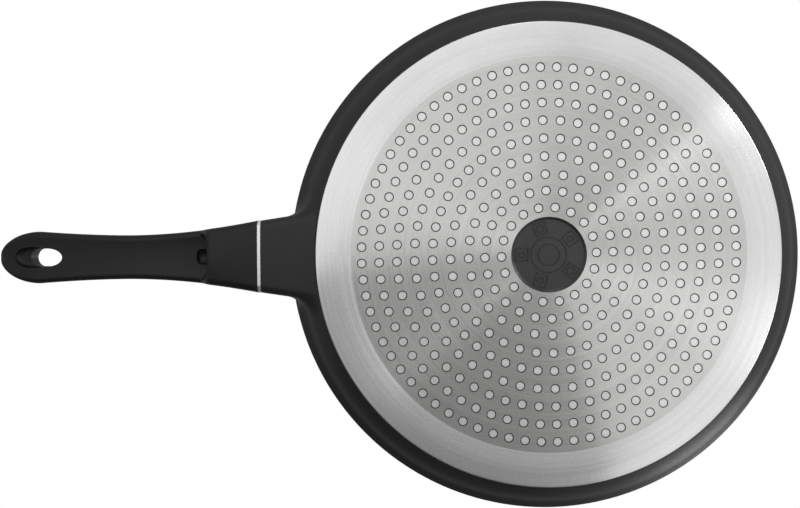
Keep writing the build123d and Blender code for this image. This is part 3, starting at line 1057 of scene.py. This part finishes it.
def egg(turn, outer, inner, half, start, end, power=1.0):
    """A point on a slot whose outer end is rounder than its inner end."""
    angle = TURN * turn
    x, y = math.cos(angle), math.copysign(abs(math.sin(angle)) ** power, math.sin(angle))
    x = math.copysign(abs(x) ** power, x)
    return (end + x * outer if x > 0 else start + x * inner), y * half


# The hanging hole in millimetres: the rounds at its outer and inner end, half its width, and its two centres
HANG_OUTER_ROUND = 5.2
HANG_INNER_ROUND = 9.9
HANG_HALF = 5.1
HANG_START = -1.3
HANG_END = 5.9
# The scoop at its outer end: its inner round, its two centres, and how square it is (1 is round)
SCOOP_INNER_ROUND = 6.0
SCOOP_START = 3.0
SCOOP_END = 9.0
SCOOP_POWER = 0.92

# The bore, the screw's way and the socket for the spigot, in millimetres out from the joint's face
LEAST_BORE_RADIUS = 0.01
SCREW_WAY_RADIUS = 2.75
SCREW_WAY_ENDS = (-1.0, 14.0)
SOCKET_ENDS = (-1.0, 9.5)
SOCKET_HALF_WIDTH = 9.0
SOCKET_HALF_HEIGHT = 2.5
SOCKET_ROUND = 2.15
SOCKET_SQUARENESS = 6


def hang_cutter():
    """The hole with eased edges above and below, and the scoop at its outer end."""
    origin, along, out = hang_frame()
    bm = bmesh.new()
    # Level above the underside, and how much wider the hole is there
    levels = [(-8.0, 3.2), (-0.9, 0.9), (-0.4, 0.62), (0.0, 0.35), (0.45, 0.12), (1.0, 0.0)]
    levels += [(12.2, 0.0), (12.8, 0.12), (13.2, 0.4), (13.5, 0.8), (20.0, 4.0)]

    def hole(turn, row):
        level, flare = levels[row]
        outer, inner, half = HANG_OUTER_ROUND + flare, HANG_INNER_ROUND + flare, HANG_HALF + flare
        x, y = egg(turn, outer, inner, half, HANG_START, HANG_END)
        return origin + along * x + ACROSS * y + out * level

    wrap(bm, HANG_STEPS, len(levels) - 1, hole)
    scoop = bmesh.new()
    # Level, reach outwards and half the width of the scoop
    depths = [(-6.0, 25.0, 9.6), (-0.6, 21.0, 6.9), (-0.15, 20.5, 6.45), (0.3, 20.1, 6.15), (0.9, 19.8, 5.95)]
    depths += [(2.0, 19.4, 5.75), (3.2, 18.9, 5.5), (3.9, 18.2, 5.1), (4.3, 17.0, 4.5), (4.5, 15.0, 3.5)]

    def hollow(turn, row):
        level, reach, half = depths[row]
        x, y = egg(turn, reach - SCOOP_END, SCOOP_INNER_ROUND, half, SCOOP_START, SCOOP_END, SCOOP_POWER)
        return origin + along * x + ACROSS * y + out * level

    wrap(scoop, HANG_STEPS, len(depths) - 1, hollow)
    return bm, scoop


def bore_cutter():
    """The bore for the screw and the washers, open at the step, the screw's way and the spigot's socket."""
    bm = bmesh.new()
    # Distance out and radius, up to the bore's domed end
    levels = [(13.0, 0.0), (13.0, 5.0), (33.4, 5.0), (34.4, 4.85), (35.2, 4.45), (35.8, 3.8), (36.2, 2.9)]
    levels.append((36.3, 0.0))

    def bore(turn, row):
        out, radius = levels[row]
        angle = TURN * turn
        radius = max(radius, LEAST_BORE_RADIUS)
        return joint_point(radius * math.sin(angle), radius * math.cos(angle), out + RING_WIDTH)

    wrap(bm, BORE_STEPS, len(levels) - 1, bore)
    passage = bmesh.new()

    def screw_way(turn, row):
        across = SCREW_WAY_RADIUS * math.sin(TURN * turn)
        up = SCREW_WAY_RADIUS * math.cos(TURN * turn)
        return joint_point(across, up, RING_WIDTH + SCREW_WAY_ENDS[row])

    wrap(passage, SCREW_WAY_STEPS, 1, screw_way)
    socket = bmesh.new()

    def key_way(turn, row):
        x, y = math.cos(TURN * turn), math.sin(TURN * turn)
        across = max(-1, min(1, x * SOCKET_SQUARENESS)) * SOCKET_HALF_WIDTH + x * SOCKET_ROUND
        up = max(-1, min(1, y * SOCKET_SQUARENESS)) * SOCKET_HALF_HEIGHT + y * SOCKET_ROUND
        return joint_point(across, up, RING_WIDTH + SOCKET_ENDS[row])

    wrap(socket, BORE_STEPS, 1, key_way)
    return bm, passage, socket


def make_handle(material):
    """The moulded handle with its hanging hole, screw bore and socket cut into it."""
    rows = handle_rows()
    bm = bmesh.new()
    wrap(bm, GRIP_STEPS, len(rows) - 1, lambda turn, row: handle_point(turn, row, rows))
    piece = finish_piece(bm, "grip", "handle", [material])
    for cutter in (*hang_cutter(), *bore_cutter()):
        cut_away(piece, cutter)
    bm = bmesh.new()
    bm.from_mesh(piece.data)
    for face in bm.faces:
        face.smooth = True
    for edge in bm.edges:
        edge.smooth = len(edge.link_faces) == 2 and edge.calc_face_angle(0.0) < GRIP_SHARP_ANGLE
    bm.to_mesh(piece.data)
    bm.free()
    return piece


# Operators


class PAN_OT_casting(bpy.types.Operator):
    """Make the black casting with its boss, and the raised mark in its base"""

    bl_idname = "pan.casting"
    bl_label = "Casting"

    def execute(self, context):
        sizes, colours = context.scene.pan_sizes, context.scene.pan_colours
        coat = black_coating(tuple(colours.coating))
        stamped = stamped_coating(tuple(colours.coating))
        make_casting(sizes, [coat, nonstick(tuple(colours.cooking_side)), stamped])
        make_mark(stamped, sizes.mark_radius / MM)
        return {"FINISHED"}


class PAN_OT_base(bpy.types.Operator):
    """Make the machined base ring, the perforated plate and the pins in it"""

    bl_idname = "pan.base"
    bl_label = "Base ring, plate and pins"

    def execute(self, context):
        sizes, colours = context.scene.pan_sizes, context.scene.pan_colours
        bare = tuple(colours.aluminium)
        steel = tuple(colours.steel)
        make_base_ring(sizes, turned_metal("turned aluminium", bare, rough=0.26, stretch=0.97, depth=0.16))
        make_plate(sizes, turned_metal("turned steel", steel, rough=0.27, stretch=0.97, depth=0.18))
        make_pins(sizes, turned_metal("turned pins", bare, rough=0.47, stretch=0.2, depth=0.15))
        return {"FINISHED"}


class PAN_OT_handle(bpy.types.Operator):
    """Make the handle and finish the ring, the screw and the washers"""

    bl_idname = "pan.handle"
    bl_label = "Handle and fasteners"

    def execute(self, context):
        colours = context.scene.pan_colours
        make_handle(phenolic(tuple(colours.handle)))
        finishes = {"ferrule_ring": polished_ring(tuple(colours.ring))}
        steel = fastener_steel()
        for node in ("handle_screw", "spring_washer", "flat_washer"):
            finishes[node] = steel
        for node, material in finishes.items():
            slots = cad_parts[node].data.materials
            slots.clear()
            slots.append(material)
        return {"FINISHED"}


# The stage: sizes and places in metres, power in watts

FLOOR_HALF = 4.0
FLOOR_DROP = 0.4 * MM
FLOOR_COLOUR = (0.86, 0.86, 0.86, 1)

# Lamps as name, place, aim, size and power
LAMPS = (
    ("key below", (0.68, -0.43, -0.56), (0, 0, 0), 0.10, 0.6),
    ("far side lamp", (-0.05, -1.0, -0.22), (-0.05, 0, 0), 0.35, 0.7),
    ("right side lamp", (0.92, -0.42, -0.27), (0, 0, 0), 0.32, 2.0),
    ("side lamp below", (0.80, 0.27, -0.60), (0, 0, 0), 0.34, 0.8),
    ("side lamp above", (0.62, 0.64, 0.52), (0, 0, 0), 0.44, 1.05),
    ("key above", (0.35, 0.12, 1.2), (-0.05, 0, 0), 0.4, 1.0),
)

# Level cards below the pan, turned together: name, place along and aside, width and height
CARDS = (("right card", 0.2950, 0.0, 0.48, 0.90), ("left card", -0.2730, 0.265, 0.656, 0.50))
CARD_TURN = math.radians(10)
CARD_COSINE = 0.985
CARD_SINE = 0.174
CARD_LEVEL = -0.30
CARD_RADIANCE = 0.55

# The glow that the metal shows: its strength outside and inside a shade, which ends steeply upwards and
# has two sides, each a direction and where the shade begins along it
GLOW = (0.36, 0.03)
SHADE_UPNESS = (0.3, 0.8)
SHADE_SIDES = (((-CARD_COSINE, CARD_SINE, 0.0), -0.20), ((CARD_SINE, CARD_COSINE, 0.0), 0.05))
SHADE_SOFTNESS = 0.28
# The even light: its strength from the side and from above, and how far up it is all from above
DAYLIGHT = (0.45, 0.80)
DAYLIGHT_UPNESS = 0.5

# The camera: place in millimetres, turns about its own axes, focal length and picture width in pixels
CAMERA_PLACE = (-84.301, -7.094, -715.875)
CAMERA_TURNS = (("Z", 0.00707), ("Y", -0.00523), ("X", -0.0086))
FOCAL_PIXELS = 1325.555
PICTURE_WIDTH = 800
SENSOR_WIDTH = 36


def add_light(name, place, shape, size, power):
    """An area light that the camera doesn't see."""
    lamp = bpy.data.lights.new(name, "AREA")
    lamp.shape = shape
    lamp.size = size
    lamp.energy = power
    made = bpy.data.objects.new(name, lamp)
    made.location = place
    made.visible_camera = False
    bpy.context.scene.collection.objects.link(made)
    return made


def add_lamp(name, place, aim, size, power):
    """A round lamp aimed at a point."""
    made = add_light(name, place, "DISK", size, power)
    made.rotation_euler = (Vector(aim) - Vector(place)).to_track_quat("-Z", "Y").to_euler()


def add_card(name, along, aside, wide, high):
    """A level card that shines up at the base."""
    x = along * CARD_COSINE - aside * CARD_SINE
    y = -(along * CARD_SINE + aside * CARD_COSINE)
    made = add_light(name, (x, y, CARD_LEVEL), "RECTANGLE", wide, CARD_RADIANCE * math.pi * wide * high)
    made.data.size_y = high
    made.rotation_euler = (math.pi, 0, -CARD_TURN)


def make_floor(scene):
    """The pale floor, which the camera sees through from below."""
    bm = bmesh.new()
    bmesh.ops.create_grid(bm, x_segments=1, y_segments=1, size=FLOOR_HALF)
    bmesh.ops.translate(bm, verts=bm.verts, vec=(0, 0, -FLOOR_DROP))
    mesh = bpy.data.meshes.new("floor")
    bm.to_mesh(mesh)
    bm.free()
    floor = bpy.data.objects.new("floor", mesh)
    scene.collection.objects.link(floor)
    material, tree = new_material("pale floor")
    seen = tree.node("ShaderNodeLightPath", output=0)
    behind = tree.node("ShaderNodeNewGeometry", output=6)
    paint = tree.node("ShaderNodeBsdfDiffuse", {}, {"Color": FLOOR_COLOUR})
    clear = tree.node("ShaderNodeBsdfTransparent")
    mixed = tree.node("ShaderNodeMixShader", {}, {0: seen * (1 - behind), 1: clear, 2: paint})
    tree.node("ShaderNodeOutputMaterial", {}, {"Surface": mixed})
    mesh.materials.append(material)


def make_world(scene):
    """White behind the pan, a glow in the metal that is darker towards one side, and an even light."""
    world = bpy.data.worlds.new("studio")
    scene.world = world
    sky = Tree(world)
    path = sky.node("ShaderNodeLightPath").socket.node
    white = Amount(sky, path.outputs["Is Camera Ray"]) + Amount(sky, path.outputs["Is Transmission Ray"])
    shine = Amount(sky, path.outputs["Is Glossy Ray"])
    way = sky.node("ShaderNodeTexCoord", output=0)
    upness = sky.dot(way, (0, 0, 1))
    shade = sky.spread(upness, *SHADE_UPNESS, 1.0, 0.0)
    for aim, low in SHADE_SIDES:
        shade = sky.spread(sky.dot(way, aim), low, low + SHADE_SOFTNESS) * shade
    glow = sky.spread(shade, 0.0, 1.0, *GLOW)
    level = sky.least(white + shine * glow, 1.0)
    others = 1 - sky.least(white + shine, 1.0)
    strength = level + others * sky.spread(upness, 0.0, DAYLIGHT_UPNESS, *DAYLIGHT)
    light = sky.node("ShaderNodeBackground", {}, {"Color": (1, 1, 1, 1), "Strength": strength})
    sky.node("ShaderNodeOutputWorld", {}, {"Surface": light})


def make_camera(scene):
    """The camera, which looks straight up, with the pan's handle to the left."""
    lens = bpy.data.cameras.new("camera")
    lens.sensor_width = SENSOR_WIDTH
    lens.lens = FOCAL_PIXELS * SENSOR_WIDTH / PICTURE_WIDTH
    lens.clip_start = 0.01
    lens.clip_end = 50
    camera = bpy.data.objects.new("camera", lens)
    scene.collection.objects.link(camera)
    turned = Matrix.Identity(3)
    for axis, angle in CAMERA_TURNS:
        turned = turned @ Matrix.Rotation(angle, 3, axis)
    turned = turned @ Matrix(((1, 0, 0), (0, -1, 0), (0, 0, 1)))
    pose = Matrix((turned[0], turned[1], -turned[2])).transposed().to_4x4()
    pose.translation = Vector(CAMERA_PLACE) * MM
    camera.matrix_world = pose
    scene.camera = camera


class PAN_OT_stage(bpy.types.Operator):
    """Make the floor, the light and the camera, which looks up at the pan's base"""

    bl_idname = "pan.stage"
    bl_label = "Floor, light and camera"

    def execute(self, context):
        scene = context.scene
        scene.view_settings.view_transform = "Standard"
        make_floor(scene)
        make_world(scene)
        for card in CARDS:
            add_card(*card)
        for lamp in LAMPS:
            add_lamp(*lamp)
        make_camera(scene)
        return {"FINISHED"}


class PAN_PT_panel(bpy.types.Panel):
    bl_idname = "PAN_PT_panel"
    bl_label = "Crepe pan"
    bl_space_type = "VIEW_3D"
    bl_region_type = "UI"
    bl_category = "Crepe pan"

    def draw(self, context):
        for group in (context.scene.pan_sizes, context.scene.pan_colours):
            for key in group.__annotations__:
                self.layout.prop(group, key)
        for kind in OPERATORS:
            self.layout.operator(kind.bl_idname)


OPERATORS = (PAN_OT_casting, PAN_OT_base, PAN_OT_handle, PAN_OT_stage)
CLASSES = (PanSizes, PanColours, *OPERATORS, PAN_PT_panel)


def register():
    for kind in CLASSES:
        bpy.utils.register_class(kind)
    bpy.types.Scene.pan_sizes = PointerProperty(type=PanSizes)
    bpy.types.Scene.pan_colours = PointerProperty(type=PanColours)


def unregister():
    del bpy.types.Scene.pan_colours
    del bpy.types.Scene.pan_sizes
    for kind in reversed(CLASSES):
        bpy.utils.unregister_class(kind)


def main():
    register()
    bpy.ops.pan.stage()
    bpy.ops.pan.casting()
    bpy.ops.pan.base()
    bpy.ops.pan.handle()


if __name__ == "__main__":
    main()
